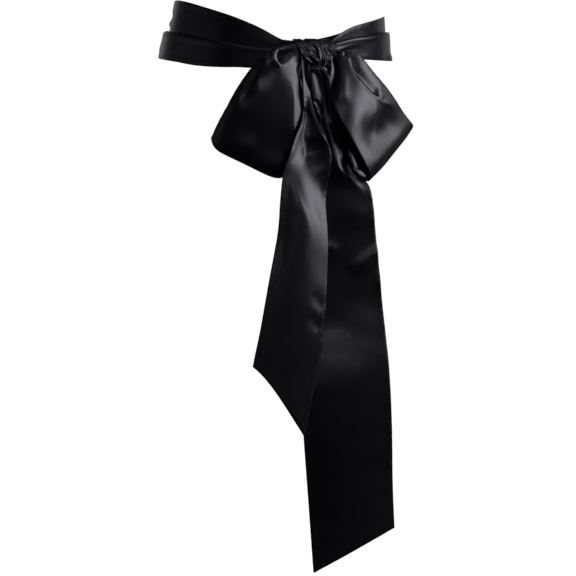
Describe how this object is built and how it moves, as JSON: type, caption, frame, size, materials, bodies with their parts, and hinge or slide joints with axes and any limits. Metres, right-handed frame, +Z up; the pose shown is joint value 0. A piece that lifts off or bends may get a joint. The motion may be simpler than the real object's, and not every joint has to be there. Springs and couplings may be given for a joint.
{
  "type": "satin sash",
  "caption": "Long black satin sash worn round the waist, tied in front in a big bow with two slant-cut tails hanging down.",
  "frame": {"origin": "middle of the wearer's waist, inside the band, at the height where the band sits", "axes": "+Z up, -Y to the front where the bow is, +X to the right of someone who looks at the bow"},
  "size_m": [0.2779, 0.2879, 0.6536],
  "materials": {
    "satin": "black satin, soft sheen"
  },
  "bodies": {
    "root": {"waist_band": "satin", "knot_wrap": "satin", "knot_strand": "satin", "bow_loop_left": "satin", "bow_loop_right": "satin", "tail_short": "satin", "tail_long": "satin"}
  },
  "joints": []
}
